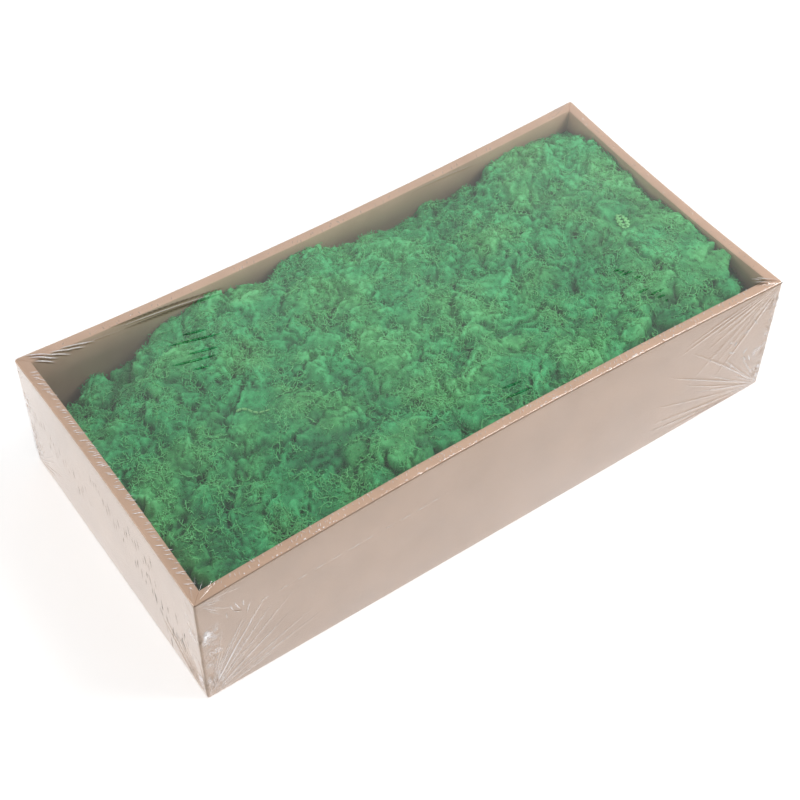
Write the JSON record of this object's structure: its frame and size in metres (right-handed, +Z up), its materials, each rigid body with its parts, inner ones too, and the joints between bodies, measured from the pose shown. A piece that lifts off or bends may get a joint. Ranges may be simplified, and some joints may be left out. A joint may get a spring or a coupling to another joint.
{
  "type": "tray of reindeer moss",
  "caption": "Oblong kraft-board tray filled with clumps of preserved green reindeer moss and sealed in clear shrink film with small vent slits.",
  "frame": {"origin": "middle of the underside, on the surface that the wrapped tray stands on", "axes": "+X along the long side, -Y out of the front long side, +Z up"},
  "size_m": [0.4014, 0.2014, 0.0914],
  "materials": {
    "kraft_board": "matte",
    "clear_film": "gloss",
    "moss": "matte",
    "leaf": "matte",
    "twig": "matte"
  },
  "bodies": {
    "root": {"tray": "kraft_board", "film": "clear_film", "loose_leaf": "leaf", "loose_twig": "twig", "moss_clump_01": "moss", "moss_clump_02": "moss", "moss_clump_03": "moss", "moss_clump_04": "moss", "moss_clump_05": "moss", "moss_clump_06": "moss", "moss_clump_07": "moss", "moss_clump_08": "moss", "moss_clump_09": "moss", "moss_clump_10": "moss", "moss_clump_11": "moss", "moss_clump_12": "moss", "moss_clump_13": "moss", "moss_clump_14": "moss", "moss_clump_15": "moss", "moss_clump_16": "moss", "moss_clump_17": "moss", "moss_clump_18": "moss", "moss_clump_19": "moss", "moss_clump_20": "moss", "moss_clump_21": "moss", "moss_clump_22": "moss", "moss_clump_23": "moss", "moss_clump_24": "moss"}
  },
  "joints": []
}
